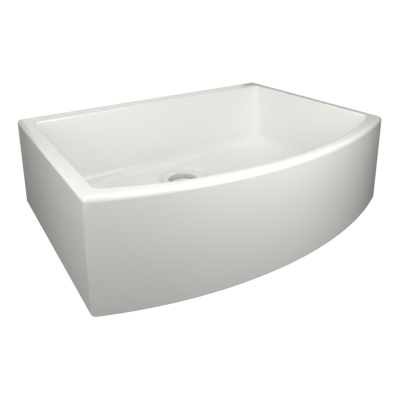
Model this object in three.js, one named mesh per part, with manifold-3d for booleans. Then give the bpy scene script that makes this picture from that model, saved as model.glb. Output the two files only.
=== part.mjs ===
// Farmhouse apron front sink: a single-bowl fireclay casting with a bowed front, and the basket
// strainer waste that closes its outlet.
//
// Millimetres, +Z up. The bowed apron faces -Y and the back stands against the wall at +Y.
// The origin is the middle of the flat underside, so the waste hangs below Z = 0.

import * as THREE from 'three';
import { mergeVertices } from 'three/addons/utils/BufferGeometryUtils.js';
import Module from 'manifold-3d';

const wasm = await Module();
wasm.setup();

// ---------------------------------------------------------------- driving dimensions

// Outside of the casting.
const WIDTH = 760;
const DEPTH = 572; // from the back to the tip of the bow
const HEIGHT = 218;
const APRON_BOW = 82; // how far the apron stands forward of its own corners
const UPRIGHT_CORNER_ROUND = 10;
const FOOT_ROUND = 6; // edge between the walls and the underside

// The rim, measured at the top of the bowl's walls.
const SIDE_RIM = 28;
const FRONT_RIM = 23; // at the tip of the bow
const BACK_RIM = 48; // the broad ledge against the wall
const RIM_OUTER_ROUND = 10;
const RIM_INNER_ROUND = 5;

// The bowl.
const BOWL_BOW = 83;
const BOWL_CORNER_AT_RIM = 16;
const BOWL_CORNER_AT_COVE = 34; // the upright corners open out towards the floor
const WALL_DRAFT = 4; // how far each wall leans in on its way down
const COVE_RADIUS = 28; // between the walls and the floor
const FLOOR_THICKNESS = 27; // at the edge of the dish round the outlet
const FLOOR_SLOPE = 0.01; // the floor falls to the dish from all sides

// The outlet, a plain hole in a dish that takes the flange of the waste.
const OUTLET_RADIUS = 47;
const OUTLET_EDGE_ROUND = 2.5;
const SEAT_WIDTH = 13; // flat ring round the hole
const DISH_SLOPE_WIDTH = 12;
const DISH_TO_COVE = 4; // floor left between the dish and the foot of the back wall's cove
const SEAT_THICKNESS = 18; // fireclay under the seat
const LAND_WIDTH = 15; // ring ground flat under the hole for the gasket

// The strainer body, pressed and threaded from one sheet of steel.
const SHEET = 1.6;
const BARREL_CLEARANCE = 5.2; // between the barrel and the hole in the casting
const FLANGE_MARGIN = 4; // between the edge of the flange and the edge of the seat
const MOUTH_ROUND = 4;
const STRAINER_DEPTH = 56; // from the top of the flange to the floor of its cup
const CUP_CORNER = 8;
const SPUD_RADIUS = 23.9; // outside of the 1 1/2 inch thread
const SPUD_BORE = 18.5;
const SPUD_LENGTH = 22; // below the floor of the cup
const SPUD_MOUTH_ROUND = 2;
const SPIDER_DEPTH = 3.5; // from the floor of the cup down to the cross
const SPIDER_HEIGHT = 5;
const SPIDER_ARM_WIDTH = 3;
const SPIDER_ARMS = 4;
const SPIDER_HUB_WALL = 3;

// The pieces that clamp it to the casting.
const SEAL_THICKNESS = 2;
const GASKET_THICKNESS = 5;
const WASHER_THICKNESS = 1.5;
const CLAMP_RING_WIDTH = 13; // gasket and nut, out from the barrel
const WASHER_SETBACK = 1; // of the washer's edge from the gasket's
const SEAL_SETBACK = 2; // of the seal's edge from the flange's
const NUT_FLANGE_THICKNESS = 4;
const NUT_HEIGHT = 14;
const NUT_WALL = 6;
const NUT_LUGS = 6;
const NUT_LUG_WIDTH = 14;
const NUT_LUG_SETBACK = 3; // from the edge of the flange
const NUT_CHAMFER = 1;

// The basket, which lifts out.
const BASKET_CLEARANCE = 2; // round its lip, inside the barrel
const BASKET_HEIGHT = 23;
const BASKET_SHEET = 1;
const BASKET_LIP_WIDTH = 2;
const BASKET_TAPER = 4;
const BASKET_CORNER = 3;
const BASKET_SLOTS = 18;
const BASKET_SLOT_WIDTH = 3.2;
const BASKET_SLOT_LENGTH = 12;
const BASKET_HOLE_RADIUS = 1.9;
const BASKET_HOLE_ROWS = [{ radius: 12, count: 6 }, { radius: 19, count: 10 }, { radius: 26, count: 14 }];
const STOPPER_THICKNESS = 8;
const STOPPER_RADIUS = 29;
const STOPPER_WAIST = 3; // how far the bung draws in above its lip
const STOPPER_LIP = 1.2;
const POST_RADIUS = 2.4;
const POST_SHOULDER_RADIUS = 5.8;
const POST_SHOULDER_HEIGHT = 2.4;
const POST_HEAD_RADIUS = 5.2;
const POST_HEAD_HEIGHT = 1.8;
const POST_HEAD_CHAMFER = 1;
const BASKET_NUT_ACROSS_FLATS = 10;
const BASKET_NUT_HEIGHT = 4;
const CATCH_RADIUS = 6.1;
const CATCH_HEIGHT = 7.5;
const CATCH_SLIT = 1.2;
const CATCH_SLIT_HEIGHT = 5.6;
const COVER_CLEARANCE = 3.2; // round the cover, where the water goes down
const COVER_ABOVE_BASKET = 7;
const COVER_SHEET = 2.2;
const COVER_DOME = 2.6;
const KNOB_RADIUS = 8;
const KNOB_HEIGHT = 8;
const KNOB_EDGE_ROUND = 2.5;
const KNOB_WAIST_RADIUS = 6;
const KNOB_FOOT_ROUND = 1.5;
const COVER_BOSS_RADIUS = 6;
const COVER_BOSS_LENGTH = 8;

// Fits.
const GAP = 0.3; // between pieces that touch
const SCREW_GAP = 0.3; // round a post or a barrel that runs in a thread

// How finely curves are stepped.
const BACK_STEPS = 14;
const SIDE_STEPS = 9;
const CORNER_STEPS = 5;
const FRONT_STEPS = 28;
const RIM_STEPS = 4; // of a rounded edge at the rim
const ROUND_STEPS = 3; // of any other rounded edge
const COVE_STEPS = 6;
const DISH_STEPS = 5;
const FLOOR_STEPS = 2;
const TURN_STEPS = 36; // of a large turned piece
const SMALL_TURN_STEPS = 24;
const SLOT_END_STEPS = 3;
const HOLE_SIDES = 6;
const DOME_STEPS = 3;

// ---------------------------------------------------------------- derived places

const SEAT_RADIUS = OUTLET_RADIUS + SEAT_WIDTH;
const DISH_RADIUS = SEAT_RADIUS + DISH_SLOPE_WIDTH;
const COVE_FOOT_FROM_BACK = BACK_RIM + WALL_DRAFT + COVE_RADIUS;
const OUTLET_Y = DEPTH / 2 - COVE_FOOT_FROM_BACK - DISH_TO_COVE - DISH_RADIUS;

const SEAL_BOTTOM = SEAT_THICKNESS + GAP;
const FLANGE_TOP = SEAL_BOTTOM + SEAL_THICKNESS + GAP + SHEET;
const FLANGE_RADIUS = SEAT_RADIUS - FLANGE_MARGIN;
const BARREL_RADIUS = OUTLET_RADIUS - BARREL_CLEARANCE;
const CUP_RADIUS = BARREL_RADIUS - SHEET;
const CUP_FLOOR = FLANGE_TOP - STRAINER_DEPTH;
const SPUD_END = CUP_FLOOR - SPUD_LENGTH;
const SPIDER_TOP = CUP_FLOOR - SPIDER_DEPTH;
const SPIDER_BORE = CATCH_RADIUS + GAP;
const SPIDER_HUB_RADIUS = SPIDER_BORE + SPIDER_HUB_WALL;

const GASKET_TOP = -GAP;
const WASHER_TOP = GASKET_TOP - GASKET_THICKNESS - GAP;
const NUT_TOP = WASHER_TOP - WASHER_THICKNESS - GAP;
const CLAMP_BORE = BARREL_RADIUS + SCREW_GAP;
const CLAMP_RADIUS = BARREL_RADIUS + CLAMP_RING_WIDTH;

const STOPPER_BOTTOM = CUP_FLOOR + GAP;
const STOPPER_TOP = STOPPER_BOTTOM + STOPPER_THICKNESS;
const BASKET_BOTTOM = STOPPER_TOP + GAP;
const BASKET_TOP = BASKET_BOTTOM + BASKET_HEIGHT;
const BASKET_RADIUS = CUP_RADIUS - BASKET_CLEARANCE;
const POST_BORE = POST_RADIUS + SCREW_GAP;
const SHOULDER_TOP = STOPPER_BOTTOM - GAP;
const CATCH_TOP = SHOULDER_TOP - POST_SHOULDER_HEIGHT - GAP;
const CATCH_BOTTOM = CATCH_TOP - CATCH_HEIGHT;
const POST_HEAD_TOP = CATCH_BOTTOM - GAP;
const BASKET_NUT_BOTTOM = BASKET_BOTTOM + BASKET_SHEET + GAP;
const COVER_RADIUS = CUP_RADIUS - COVER_CLEARANCE;
const COVER_EDGE = BASKET_TOP + COVER_ABOVE_BASKET;
const COVER_CROWN = COVER_EDGE + COVER_DOME;
const POST_TOP = COVER_CROWN;

// ---------------------------------------------------------------- small tools

const degrees = Math.PI / 180;

// Evenly spaced values from one to another, both included.
function spread(from, to, steps) {
  return Array.from({ length: steps + 1 }, (_, i) => from + ((to - from) * i) / steps);
}

// Points [x, y] along an arc, both ends included, with the angles in degrees.
function arc(x, y, radius, from, to, steps) {
  return spread(from, to, steps).map((angle) => [
    x + radius * Math.cos(angle * degrees),
    y + radius * Math.sin(angle * degrees),
  ]);
}

// A solid of revolution about a vertical axis through the origin. The profile is a list of
// [radius, height] that closes on itself or ends on the axis.
function turned(profile, steps = TURN_STEPS) {
  const signedArea = profile.reduce((sum, [r, z], i) => {
    const [nextR, nextZ] = profile[(i + 1) % profile.length];
    return sum + r * nextZ - nextR * z;
  }, 0);
  const points = profile.map(([r, z]) => new THREE.Vector2(r, z));
  if (signedArea < 0) points.reverse();
  if (points[0].x > 0 || points.at(-1).x > 0) points.push(points[0].clone());
  const geometry = new THREE.LatheGeometry(points, steps);
  geometry.rotateX(90 * degrees);
  return welded(geometry);
}

// The same geometry with shared corners and no collapsed triangles.
function welded(geometry) {
  geometry.deleteAttribute('normal');
  geometry.deleteAttribute('uv');
  const merged = mergeVertices(geometry, 1e-4);
  const corners = merged.index.array;
  const kept = [];
  for (let i = 0; i < corners.length; i += 3) {
    const [a, b, c] = corners.slice(i, i + 3);
    if (a !== b && b !== c && c !== a) kept.push(a, b, c);
  }
  merged.setIndex(kept);
  return merged;
}

function solid(geometry) {
  const merged = welded(geometry);
  return new wasm.Manifold(new wasm.Mesh({
    numProp: 3,
    vertProperties: new Float32Array(merged.attributes.position.array),
    triVerts: new Uint32Array(merged.index.array),
  }));
}

function fromSolid(manifold) {
  const mesh = manifold.getMesh();
  const geometry = new THREE.BufferGeometry();
  geometry.setAttribute('position', new THREE.BufferAttribute(mesh.vertProperties, 3));
  geometry.setIndex(new THREE.BufferAttribute(mesh.triVerts, 1));
  return geometry;
}

// A plain ring with square edges.
function ring(bore, radius, bottom, top, steps = TURN_STEPS) {
  return turned([[bore, bottom], [radius, bottom], [radius, top], [bore, top]], steps);
}

// An upright prism of a flat outline.
function prism(shape, bottom, top) {
  const geometry = new THREE.ExtrudeGeometry(shape, { depth: top - bottom, bevelEnabled: false });
  geometry.translate(0, 0, bottom);
  return geometry;
}

function piece(name, geometry, colour, roughness, metalness) {
  const material = new THREE.MeshStandardMaterial({ color: colour, roughness, metalness });
  const mesh = new THREE.Mesh(geometry, material);
  mesh.name = name;
  return mesh;
}

// ---------------------------------------------------------------- the casting

// A plan with a straight back, straight sides and a bowed front, as the numbers its outline needs.
function bowedPlan(halfWidth, front, back, bow) {
  const radius = (halfWidth ** 2 + bow ** 2) / (2 * bow);
  return { halfWidth, back, radius, centre: front + radius };
}

const outside = bowedPlan(WIDTH / 2, -DEPTH / 2, DEPTH / 2, APRON_BOW);
const bowl = bowedPlan(WIDTH / 2 - SIDE_RIM, -DEPTH / 2 + FRONT_RIM, DEPTH / 2 - BACK_RIM, BOWL_BOW);

// One level of the casting: the plan drawn in by an inset, with rounded corners. The points start
// at the middle of the back and run anticlockwise, as many on each stretch at every level.
function outlineRing(plan, inset, corner, z) {
  const halfWidth = plan.halfWidth - inset;
  const back = plan.back - inset;
  const radius = plan.radius - inset;
  const x = halfWidth - corner;
  const frontY = plan.centre - Math.sqrt((radius - corner) ** 2 - x ** 2);
  const backY = back - corner;
  const turn = Math.asin(x / (radius - corner)) / degrees;
  // Each stretch leaves out its last point, which is the first of the next.
  const line = (x0, y0, x1, y1, steps) => spread(0, 1, steps)
    .slice(0, -1)
    .map((t) => [x0 + (x1 - x0) * t, y0 + (y1 - y0) * t]);
  const bend = (...values) => arc(...values).slice(0, -1);
  return [
    ...line(0, back, -x, back, BACK_STEPS / 2),
    ...bend(-x, backY, corner, 90, 180, CORNER_STEPS),
    ...line(-halfWidth, backY, -halfWidth, frontY, SIDE_STEPS),
    ...bend(-x, frontY, corner, 180, 270 - turn, CORNER_STEPS),
    ...bend(0, plan.centre, radius, 270 - turn, 270 + turn, FRONT_STEPS),
    ...bend(x, frontY, corner, 270 + turn, 360, CORNER_STEPS),
    ...line(halfWidth, frontY, halfWidth, backY, SIDE_STEPS),
    ...bend(x, backY, corner, 0, 90, CORNER_STEPS),
    ...line(x, back, 0, back, BACK_STEPS / 2),
  ].map(([px, py]) => [px, py, z]);
}

const RING_POINTS = BACK_STEPS + 2 * SIDE_STEPS + 4 * CORNER_STEPS + FRONT_STEPS;

// One level of the outlet, a circle with as many points as an outline, from the back round.
function outletRing(radius, z) {
  return arc(0, OUTLET_Y, radius, 90, 450, RING_POINTS)
    .slice(0, -1)
    .map(([x, y]) => [x, y, z]);
}

function between(ringA, ringB, t) {
  return ringA.map((point, i) => point.map((value, axis) => value + (ringB[i][axis] - value) * t));
}

// The floor's height where it lies open: a shallow cone down to the dish.
function floorHeight(x, y) {
  return FLOOR_THICKNESS + FLOOR_SLOPE * (Math.hypot(x, y - OUTLET_Y) - DISH_RADIUS);
}

function drawnIn(corner, inset) {
  return Math.max(corner - inset, 1);
}

// Every level of the skin in turn: out over the underside, up the outside, over the rim, down
// into the bowl, across its floor and down through the outlet to where it began.
function castingRings() {
  const rings = [];
  const edge = OUTLET_EDGE_ROUND;
  rings.push(outletRing(OUTLET_RADIUS + edge, 0));
  rings.push(outletRing(OUTLET_RADIUS + edge + LAND_WIDTH, 0));

  for (const [inset, z] of arc(FOOT_ROUND, FOOT_ROUND, FOOT_ROUND, 270, 180, ROUND_STEPS)) {
    rings.push(outlineRing(outside, inset, drawnIn(UPRIGHT_CORNER_ROUND, inset), z));
  }
  const outerEdgeZ = HEIGHT - RIM_OUTER_ROUND;
  for (const [inset, z] of arc(RIM_OUTER_ROUND, outerEdgeZ, RIM_OUTER_ROUND, 180, 90, RIM_STEPS)) {
    rings.push(outlineRing(outside, inset, drawnIn(UPRIGHT_CORNER_ROUND, inset), z));
  }
  const innerEdgeZ = HEIGHT - RIM_INNER_ROUND;
  for (const [inset, z] of arc(-RIM_INNER_ROUND, innerEdgeZ, RIM_INNER_ROUND, 90, 0, RIM_STEPS)) {
    rings.push(outlineRing(bowl, inset, drawnIn(BOWL_CORNER_AT_RIM, inset), z));
  }

  // The cove starts level along the walls and ends on the falling floor.
  for (const t of spread(0, 1, COVE_STEPS)) {
    const bend = 90 * t * degrees;
    const reach = COVE_RADIUS * (1 - Math.cos(bend));
    const rise = COVE_RADIUS * (1 - Math.sin(bend));
    const level = outlineRing(bowl, WALL_DRAFT + reach, drawnIn(BOWL_CORNER_AT_COVE, reach), 0);
    rings.push(level.map(([x, y]) => {
      const floor = FLOOR_THICKNESS + (floorHeight(x, y) - FLOOR_THICKNESS) * t;
      return [x, y, floor + rise];
    }));
  }

  const coveFoot = rings.at(-1);
  const dishEdge = outletRing(DISH_RADIUS, FLOOR_THICKNESS);
  for (const t of spread(0, 1, FLOOR_STEPS).slice(1, -1)) {
    const level = between(coveFoot, dishEdge, t);
    rings.push(level.map(([x, y]) => [x, y, floorHeight(x, y)]));
  }

  // The dish is an even curve down to the flat seat, then the hole.
  const dishDepth = FLOOR_THICKNESS - SEAT_THICKNESS;
  for (const t of spread(0, 1, DISH_STEPS)) {
    const drop = (dishDepth * (1 - Math.cos(180 * t * degrees))) / 2;
    rings.push(outletRing(DISH_RADIUS - DISH_SLOPE_WIDTH * t, FLOOR_THICKNESS - drop));
  }
  for (const [r, z] of arc(OUTLET_RADIUS + edge, SEAT_THICKNESS - edge, edge, 90, 180, ROUND_STEPS)) {
    rings.push(outletRing(r, z));
  }
  rings.push(outletRing(OUTLET_RADIUS, edge));
  return rings;
}

function castingGeometry() {
  const rings = castingRings();
  const corners = [];
  rings.forEach((_, level) => {
    const here = level * RING_POINTS;
    const next = ((level + 1) % rings.length) * RING_POINTS;
    for (let i = 0; i < RING_POINTS; i += 1) {
      const j = (i + 1) % RING_POINTS;
      corners.push(here + i, here + j, next + j);
      corners.push(here + i, next + j, next + i);
    }
  });
  const geometry = new THREE.BufferGeometry();
  geometry.setAttribute('position', new THREE.Float32BufferAttribute(rings.flat(2), 3));
  geometry.setIndex(corners);
  return geometry;
}

// ---------------------------------------------------------------- the fixed waste

// Pressed flange, threaded barrel, cup and spud in one sheet, with a cross in the spud's mouth
// that the basket's post drops through.
function strainerBodyGeometry() {
  const inner = CUP_CORNER - SHEET;
  const mouthR = CUP_RADIUS + MOUTH_ROUND;
  const mouthZ = FLANGE_TOP - MOUTH_ROUND;
  const cornerR = CUP_RADIUS - inner;
  const cornerZ = CUP_FLOOR + inner;
  const shell = turned([
    [FLANGE_RADIUS, FLANGE_TOP - SHEET],
    [FLANGE_RADIUS, FLANGE_TOP - SHEET / 2],
    [FLANGE_RADIUS - SHEET / 2, FLANGE_TOP],
    ...arc(mouthR, mouthZ, MOUTH_ROUND, 90, 180, ROUND_STEPS),
    ...arc(cornerR, cornerZ, inner, 0, -90, ROUND_STEPS),
    ...arc(SPUD_BORE + SPUD_MOUTH_ROUND, CUP_FLOOR - SPUD_MOUTH_ROUND, SPUD_MOUTH_ROUND, 90, 180, 2),
    [SPUD_BORE, SPUD_END],
    [SPUD_RADIUS, SPUD_END],
    [SPUD_RADIUS, CUP_FLOOR - SHEET],
    ...arc(cornerR, cornerZ, CUP_CORNER, -90, 0, ROUND_STEPS),
    ...arc(mouthR, mouthZ, MOUTH_ROUND - SHEET, 180, 90, ROUND_STEPS),
  ]);
  const bottom = SPIDER_TOP - SPIDER_HEIGHT;
  const hub = ring(SPIDER_BORE, SPIDER_HUB_RADIUS, bottom, SPIDER_TOP, SMALL_TURN_STEPS);
  let body = solid(shell).add(solid(hub));
  const armInner = (SPIDER_BORE + SPIDER_HUB_RADIUS) / 2;
  const armOuter = (SPUD_BORE + SPUD_RADIUS) / 2;
  for (let i = 0; i < SPIDER_ARMS; i += 1) {
    const arm = new THREE.BoxGeometry(armOuter - armInner, SPIDER_ARM_WIDTH, SPIDER_HEIGHT);
    arm.translate((armInner + armOuter) / 2, 0, bottom + SPIDER_HEIGHT / 2);
    arm.rotateZ((i * 2 * Math.PI) / SPIDER_ARMS);
    body = body.add(solid(arm));
  }
  return fromSolid(body);
}

// A flanged ring nut with lugs for a spanner.
function lockNutGeometry() {
  const bottom = NUT_TOP - NUT_HEIGHT;
  const flangeBottom = NUT_TOP - NUT_FLANGE_THICKNESS;
  const hub = CLAMP_BORE + NUT_WALL;
  const chamfer = NUT_CHAMFER;
  let nut = solid(turned([
    [CLAMP_BORE, NUT_TOP],
    [CLAMP_RADIUS - chamfer, NUT_TOP],
    [CLAMP_RADIUS, NUT_TOP - chamfer],
    [CLAMP_RADIUS, flangeBottom],
    [hub, flangeBottom],
    [hub, bottom + chamfer],
    [hub - chamfer, bottom],
    [CLAMP_BORE, bottom],
  ]));
  const lugInner = hub - NUT_WALL / 2;
  const lugOuter = CLAMP_RADIUS - NUT_LUG_SETBACK;
  const lugHeight = flangeBottom - bottom;
  for (let i = 0; i < NUT_LUGS; i += 1) {
    const lug = new THREE.BoxGeometry(lugOuter - lugInner, NUT_LUG_WIDTH, lugHeight);
    lug.translate((lugOuter + lugInner) / 2, 0, bottom + lugHeight / 2 + chamfer / 2);
    lug.rotateZ((i * 2 * Math.PI) / NUT_LUGS);
    nut = nut.add(solid(lug));
  }
  return fromSolid(nut);
}

// ---------------------------------------------------------------- the basket

function basketCupGeometry() {
  const sheet = BASKET_SHEET;
  const wallTop = BASKET_RADIUS - BASKET_LIP_WIDTH;
  const wallFoot = wallTop - BASKET_TAPER;
  const cornerR = wallFoot - BASKET_CORNER;
  const cornerZ = BASKET_BOTTOM + BASKET_CORNER;
  let cup = solid(turned([
    [POST_BORE, BASKET_BOTTOM],
    ...arc(cornerR, cornerZ, BASKET_CORNER, -90, 0, 2),
    [wallTop, BASKET_TOP - 2 * sheet],
    [BASKET_RADIUS, BASKET_TOP - sheet],
    [BASKET_RADIUS, BASKET_TOP],
    [wallTop - sheet, BASKET_TOP - sheet],
    ...arc(cornerR, cornerZ, BASKET_CORNER - sheet, 0, -90, 2),
    [POST_BORE, BASKET_BOTTOM + sheet],
  ]));
  // Slots with round ends through the wall.
  const straight = (BASKET_SLOT_LENGTH - BASKET_SLOT_WIDTH) / 2;
  const outline = new THREE.Shape([
    ...arc(0, straight, BASKET_SLOT_WIDTH / 2, 0, 180, SLOT_END_STEPS),
    ...arc(0, -straight, BASKET_SLOT_WIDTH / 2, 180, 360, SLOT_END_STEPS),
  ].map(([x, y]) => new THREE.Vector2(x, y)));
  for (let i = 0; i < BASKET_SLOTS; i += 1) {
    const slot = prism(outline, cornerR - BASKET_CORNER, BASKET_RADIUS);
    slot.rotateX(90 * degrees);
    slot.rotateZ((i * 2 * Math.PI) / BASKET_SLOTS);
    slot.translate(0, 0, (cornerZ + BASKET_TOP - 2 * sheet) / 2);
    cup = cup.subtract(solid(slot));
  }
  // Rows of holes through the bottom.
  for (const row of BASKET_HOLE_ROWS) {
    for (let i = 0; i < row.count; i += 1) {
      const hole = new THREE.CylinderGeometry(BASKET_HOLE_RADIUS, BASKET_HOLE_RADIUS, 4 * sheet, HOLE_SIDES);
      hole.rotateX(90 * degrees);
      hole.translate(row.radius, 0, BASKET_BOTTOM);
      hole.rotateZ((i * 2 * Math.PI) / row.count);
      cup = cup.subtract(solid(hole));
    }
  }
  return fromSolid(cup);
}

// A rubber bung with a thin lip that closes on the floor of the cup.
function stopperGeometry() {
  const lip = STOPPER_LIP;
  const waist = STOPPER_RADIUS - STOPPER_WAIST;
  return turned([
    [POST_BORE, STOPPER_BOTTOM],
    [STOPPER_RADIUS - lip, STOPPER_BOTTOM],
    [STOPPER_RADIUS, STOPPER_BOTTOM + lip],
    [waist, STOPPER_BOTTOM + STOPPER_THICKNESS / 2],
    [waist, STOPPER_TOP - lip],
    [waist - lip, STOPPER_TOP],
    [POST_BORE, STOPPER_TOP],
  ]);
}

function postGeometry() {
  const foot = POST_HEAD_TOP - POST_HEAD_HEIGHT;
  const shoulderBottom = SHOULDER_TOP - POST_SHOULDER_HEIGHT;
  return turned([
    [0, foot],
    [POST_HEAD_RADIUS - POST_HEAD_CHAMFER, foot],
    [POST_HEAD_RADIUS, foot + POST_HEAD_CHAMFER],
    [POST_HEAD_RADIUS, POST_HEAD_TOP],
    [POST_RADIUS, POST_HEAD_TOP],
    [POST_RADIUS, shoulderBottom],
    [POST_SHOULDER_RADIUS, shoulderBottom],
    [POST_SHOULDER_RADIUS, SHOULDER_TOP],
    [POST_RADIUS, SHOULDER_TOP],
    [POST_RADIUS, POST_TOP],
    [0, POST_TOP],
  ], SMALL_TURN_STEPS);
}

// A split bush whose fingers spring against the cross.
function catchGeometry() {
  let bush = solid(ring(POST_BORE, CATCH_RADIUS, CATCH_BOTTOM, CATCH_TOP, SMALL_TURN_STEPS));
  for (const turn of [0, 90]) {
    const slit = new THREE.BoxGeometry(4 * CATCH_RADIUS, CATCH_SLIT, 2 * CATCH_SLIT_HEIGHT);
    slit.translate(0, 0, CATCH_BOTTOM);
    slit.rotateZ(turn * degrees);
    bush = bush.subtract(solid(slit));
  }
  return fromSolid(bush);
}

function basketNutGeometry() {
  const across = BASKET_NUT_ACROSS_FLATS / 2 / Math.cos(30 * degrees);
  const hexagon = new THREE.Shape(arc(0, 0, across, 0, 300, 5).map(([x, y]) => new THREE.Vector2(x, y)));
  hexagon.holes.push(new THREE.Path().absarc(0, 0, POST_BORE, 0, 2 * Math.PI, true));
  const geometry = new THREE.ExtrudeGeometry(hexagon, {
    depth: BASKET_NUT_HEIGHT,
    bevelEnabled: false,
    curveSegments: SMALL_TURN_STEPS / 2,
  });
  geometry.translate(0, 0, BASKET_NUT_BOTTOM);
  return geometry;
}

// A domed cover with a waisted knob on top and a boss below that screws onto the post.
function coverGeometry() {
  const knobTop = COVER_CROWN + KNOB_HEIGHT;
  const knobEdge = KNOB_RADIUS - KNOB_EDGE_ROUND;
  const half = COVER_SHEET / 2;
  const rim = COVER_RADIUS - half;
  const dome = (r) => [r, COVER_CROWN - COVER_DOME * (r / COVER_RADIUS) ** 2];
  const under = ([r, z]) => [r, z - COVER_SHEET];
  const bossBottom = COVER_CROWN - COVER_BOSS_LENGTH;
  return turned([
    [0, knobTop],
    ...arc(knobEdge, knobTop - KNOB_EDGE_ROUND, KNOB_EDGE_ROUND, 90, -30, 4),
    [KNOB_WAIST_RADIUS, COVER_CROWN + KNOB_FOOT_ROUND],
    ...spread(KNOB_WAIST_RADIUS + KNOB_FOOT_ROUND, rim, DOME_STEPS).map(dome),
    [COVER_RADIUS, dome(COVER_RADIUS)[1] - half],
    ...spread(rim, COVER_BOSS_RADIUS, DOME_STEPS).map(dome).map(under),
    [COVER_BOSS_RADIUS, bossBottom],
    [POST_BORE, bossBottom],
    [POST_BORE, POST_TOP + GAP],
    [0, POST_TOP + GAP],
  ]);
}

// ---------------------------------------------------------------- assembly

const GLAZE = '#e9e9e3';
const STEEL = '#b9bcbb';
const RUBBER = '#26272a';

const sink = new THREE.Group();
sink.add(piece('sink_body', castingGeometry(), GLAZE, 0.15, 0));

// The waste is turned about its own axis and stands at the outlet.
const waste = new THREE.Group();
waste.position.set(0, OUTLET_Y, 0);
sink.add(waste);

const sealBore = OUTLET_RADIUS + OUTLET_EDGE_ROUND;
const seal = ring(sealBore, FLANGE_RADIUS - SEAL_SETBACK, SEAL_BOTTOM, SEAL_BOTTOM + SEAL_THICKNESS);
const gasket = ring(CLAMP_BORE, CLAMP_RADIUS, GASKET_TOP - GASKET_THICKNESS, GASKET_TOP);
const washer = ring(CLAMP_BORE, CLAMP_RADIUS - WASHER_SETBACK, WASHER_TOP - WASHER_THICKNESS, WASHER_TOP);
waste.add(
  piece('flange_seal', seal, '#c9c8c0', 0.8, 0),
  piece('strainer_body', strainerBodyGeometry(), '#eceae4', 0.25, 0.1),
  piece('rubber_gasket', gasket, RUBBER, 0.8, 0),
  piece('friction_washer', washer, '#b58f62', 0.9, 0),
  piece('lock_nut', lockNutGeometry(), STEEL, 0.4, 1),
);

const basket = new THREE.Group();
waste.add(basket);
basket.add(
  piece('basket_cup', basketCupGeometry(), STEEL, 0.3, 1),
  piece('basket_stopper', stopperGeometry(), RUBBER, 0.7, 0),
  piece('basket_post', postGeometry(), STEEL, 0.3, 1),
  piece('basket_catch', catchGeometry(), '#c3a24f', 0.35, 1),
  piece('basket_nut', basketNutGeometry(), '#c3a24f', 0.35, 1),
  piece('basket_cover', coverGeometry(), '#efeee9', 0.2, 0),
);

export default sink;
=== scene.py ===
"""A farmhouse sink in glazed fireclay and its basket strainer waste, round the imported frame."""

import math

import bmesh
import bpy
from mathutils import Euler, Matrix, Vector


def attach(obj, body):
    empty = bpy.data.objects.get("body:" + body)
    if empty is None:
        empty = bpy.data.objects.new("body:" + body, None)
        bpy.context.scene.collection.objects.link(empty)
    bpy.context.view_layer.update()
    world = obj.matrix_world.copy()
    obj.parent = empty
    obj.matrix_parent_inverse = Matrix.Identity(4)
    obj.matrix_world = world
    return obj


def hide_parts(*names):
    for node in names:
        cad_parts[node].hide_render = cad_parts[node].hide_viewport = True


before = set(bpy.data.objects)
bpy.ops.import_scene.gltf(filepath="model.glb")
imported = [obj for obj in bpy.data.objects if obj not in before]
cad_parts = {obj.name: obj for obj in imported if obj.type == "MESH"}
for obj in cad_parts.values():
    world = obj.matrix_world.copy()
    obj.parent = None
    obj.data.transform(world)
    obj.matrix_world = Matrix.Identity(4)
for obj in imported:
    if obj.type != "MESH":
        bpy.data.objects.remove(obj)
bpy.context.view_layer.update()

# ---------------------------------------------------------------- camera

# where the photograph was taken from: to the left of the apron, above the rim, looking down
CAMERA_PLACE = (-0.5535, -0.7930, 0.5256)
LOOK_DOWN, LOOK_RIGHT, ROLL = 14.67, 33.53, -0.36  # degrees

bpy.ops.object.camera_add(location=CAMERA_PLACE)
camera = bpy.context.object
look = Euler((math.radians(90 - LOOK_DOWN), 0, math.radians(-LOOK_RIGHT))).to_matrix()
camera.rotation_euler = (look @ Matrix.Rotation(math.radians(ROLL), 3, "Z")).to_euler()
camera.data.lens = 38.1
# part of the photograph's own shift, so that the other views still hold the whole sink
camera.data.shift_y = -0.25
camera.data.clip_end = 100
bpy.context.scene.camera = camera
bpy.context.scene.view_settings.view_transform = "Standard"

# ---------------------------------------------------------------- working by hand, in code

MM = 0.001
OUTLET = (0, 0.130, 0)  # the waste's own axis
SAME_PLACE = 2e-6  # points closer than this are one point


def linear(hex_colour):
    """An sRGB hex colour as the linear colour that a socket takes."""

    def one(pair):
        v = int(pair, 16) / 255
        return v / 12.92 if v <= 0.04045 else ((v + 0.055) / 1.055) ** 2.4

    return (*(one(hex_colour[i : i + 2]) for i in (1, 3, 5)), 1)


def near(value, target, tolerance=1e-5):
    return abs(value - target) < tolerance


def off_axis(v):
    """How far a point is from the waste's axis."""
    return math.dist(v.xy, OUTLET[:2])


def beside_axis(x, z):
    """A point x mm to the right of the waste's axis, at a height of z mm."""
    return (x / 1000, OUTLET[1], z / 1000)


def deselect():
    bpy.ops.object.select_all(action="DESELECT")


def edit():
    bpy.ops.object.mode_set(mode="EDIT")


def leave():
    bpy.ops.object.mode_set(mode="OBJECT")


def take(*pieces):
    """Selects pieces and nothing else. The first is the one to work on."""
    leave()
    deselect()
    for piece in pieces:
        piece.select_set(True)
    bpy.context.view_layer.objects.active = pieces[0]


def add(primitive, name, **settings):
    """A new primitive alone, open in edit mode, with its place in its mesh."""
    deselect()
    primitive(**settings)
    bpy.ops.object.transform_apply()
    piece = bpy.context.object
    piece.name = piece.data.name = name
    edit()
    bpy.ops.mesh.select_mode(type="VERT")
    bpy.ops.mesh.select_all(action="SELECT")
    return piece


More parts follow.
